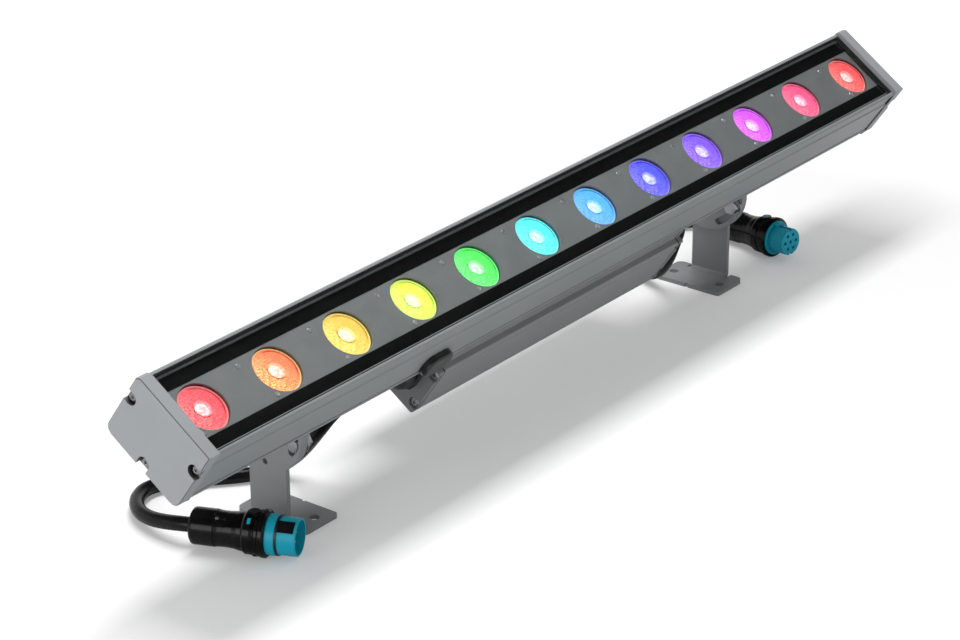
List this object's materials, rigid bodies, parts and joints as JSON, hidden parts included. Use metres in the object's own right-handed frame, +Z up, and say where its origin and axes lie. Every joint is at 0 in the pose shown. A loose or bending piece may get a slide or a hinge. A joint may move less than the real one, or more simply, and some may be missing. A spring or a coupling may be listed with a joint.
{
  "type": "outdoor wall washer light",
  "caption": "Long outdoor LED wall washer: aluminium bar with glass front and round lenses, tilting between two folded steel feet, rear power box, short cords with round waterproof connectors",
  "frame": {"origin": "on the floor under the middle of the light's bounding box without its cords, at the underside of the feet", "axes": "+X along the bar towards the socket end, +Y to the rear where the power box is, +Z up; the light leaves the bar towards -Y and up"},
  "size_m": [0.991, 0.2192, 0.2068],
  "materials": {
    "housing_grey": "satin grey powder coat on extruded aluminium",
    "cap_grey": "satin grey paint on cast aluminium",
    "end_grey": "satin dark grey paint on aluminium plate",
    "foot_grey": "satin grey paint on folded steel",
    "front_glass": "clear flat toughened glass",
    "lens_clear": "clear optic with a finely dotted front",
    "black_rubber": "black rubber",
    "black_mask": "black film",
    "plate_grey": "matt grey cover plate",
    "black_plastic": "black nylon",
    "post_nylon": "natural nylon",
    "board_white": "white solder mask on an aluminium board",
    "emitter": "clear dome over a four-colour emitter",
    "screw_steel": "stainless steel",
    "bright_steel": "bright plated steel",
    "bare_aluminium": "plain aluminium",
    "circuit_green": "green circuit board",
    "driver_black": "wound and moulded driver parts",
    "connector_black": "glossy black moulded plastic",
    "insert_teal": "satin blue-green moulded plastic",
    "contact_brass": "plated brass contacts",
    "cord_black": "glossy black cable sheath"
  },
  "bodies": {
    "base": {"foot_left": "foot_grey", "cord_left": "cord_black", "cord_right": "cord_black", "plug_nut": "connector_black", "plug_body": "connector_black", "plug_insert": "insert_teal", "plug_pins": "contact_brass", "socket_nut": "connector_black", "socket_body": "connector_black", "socket_insert": "insert_teal", "face_seals": "black_rubber"},
    "head": {"housing_profile": "housing_grey", "power_box": "housing_grey", "end_cap_left": "cap_grey", "end_cap_right": "cap_grey", "front_glass": "front_glass", "glass_seal": "black_rubber", "mask_strips": "black_mask", "lens_plate": "plate_grey", "lens_holders": "black_plastic", "led_board": "board_white", "led_emitters": "emitter", "plate_posts": "post_nylon", "plate_screws": "screw_steel", "cap_gaskets": "black_rubber", "cap_screws": "screw_steel", "box_end_left": "end_grey", "box_end_right": "end_grey", "box_gaskets": "black_rubber", "box_screws": "screw_steel", "driver_chassis": "bare_aluminium", "driver_board": "circuit_green", "driver_parts": "driver_black", "gland_left": "black_plastic", "gland_right": "black_plastic", "gland_nuts": "black_plastic", "link_boot": "black_rubber", "lug_left": "foot_grey", "lug_right": "foot_grey", "lug_screws": "screw_steel", "pivot_bolt_left": "bright_steel", "pivot_bolt_right": "bright_steel", "lens_01": "lens_clear", "lens_02": "lens_clear", "lens_03": "lens_clear", "lens_04": "lens_clear", "lens_05": "lens_clear", "lens_06": "lens_clear", "lens_07": "lens_clear", "lens_08": "lens_clear", "lens_09": "lens_clear", "lens_10": "lens_clear", "lens_11": "lens_clear", "lens_12": "lens_clear"},
    "foot_far": {"foot_right": "foot_grey"},
    "clamp_near": {"clamp_bolt_left": "bright_steel"},
    "clamp_far": {"clamp_bolt_right": "bright_steel"},
    "ring_plug": {"plug_ring": "connector_black"},
    "ring_socket": {"socket_ring": "connector_black"}
  },
  "joints": [
    {"name": "tilt", "type": "hinge", "parent": "base", "child": "head", "pos_m": [0, 0.0319, 0.089], "axis": [1, 0, 0], "range_deg": [-94, 25], "deforming": ["cord_left", "cord_right"]},
    {"name": "far_foot_swing", "type": "hinge", "parent": "head", "child": "foot_far", "pos_m": [0, 0.0319, 0.089], "axis": [1, 0, 0], "range_deg": [-25, 94]},
    {"name": "near_clamp_travel", "type": "hinge", "parent": "base", "child": "clamp_near", "pos_m": [0, 0.0319, 0.089], "axis": [1, 0, 0], "range_deg": [-47, 12.5]},
    {"name": "far_clamp_travel", "type": "hinge", "parent": "head", "child": "clamp_far", "pos_m": [0, 0.0319, 0.089], "axis": [1, 0, 0], "range_deg": [-12.5, 47]},
    {"name": "plug_lock", "type": "hinge", "parent": "base", "child": "ring_plug", "pos_m": [-0.36634, 0.00472, 0.0198], "axis": [0.4003, -0.9164, 0], "range_deg": [0, 45]},
    {"name": "socket_lock", "type": "hinge", "parent": "base", "child": "ring_socket", "pos_m": [0.39484, 0.01403, 0.01929], "axis": [-0.1561, -0.9858, 0.061], "range_deg": [0, 45]}
  ],
  "couplings": [
    {"joint": "far_foot_swing", "follows": "tilt", "ratio": -1},
    {"joint": "near_clamp_travel", "follows": "tilt", "ratio": 0.5},
    {"joint": "far_clamp_travel", "follows": "tilt", "ratio": -0.5}
  ]
}
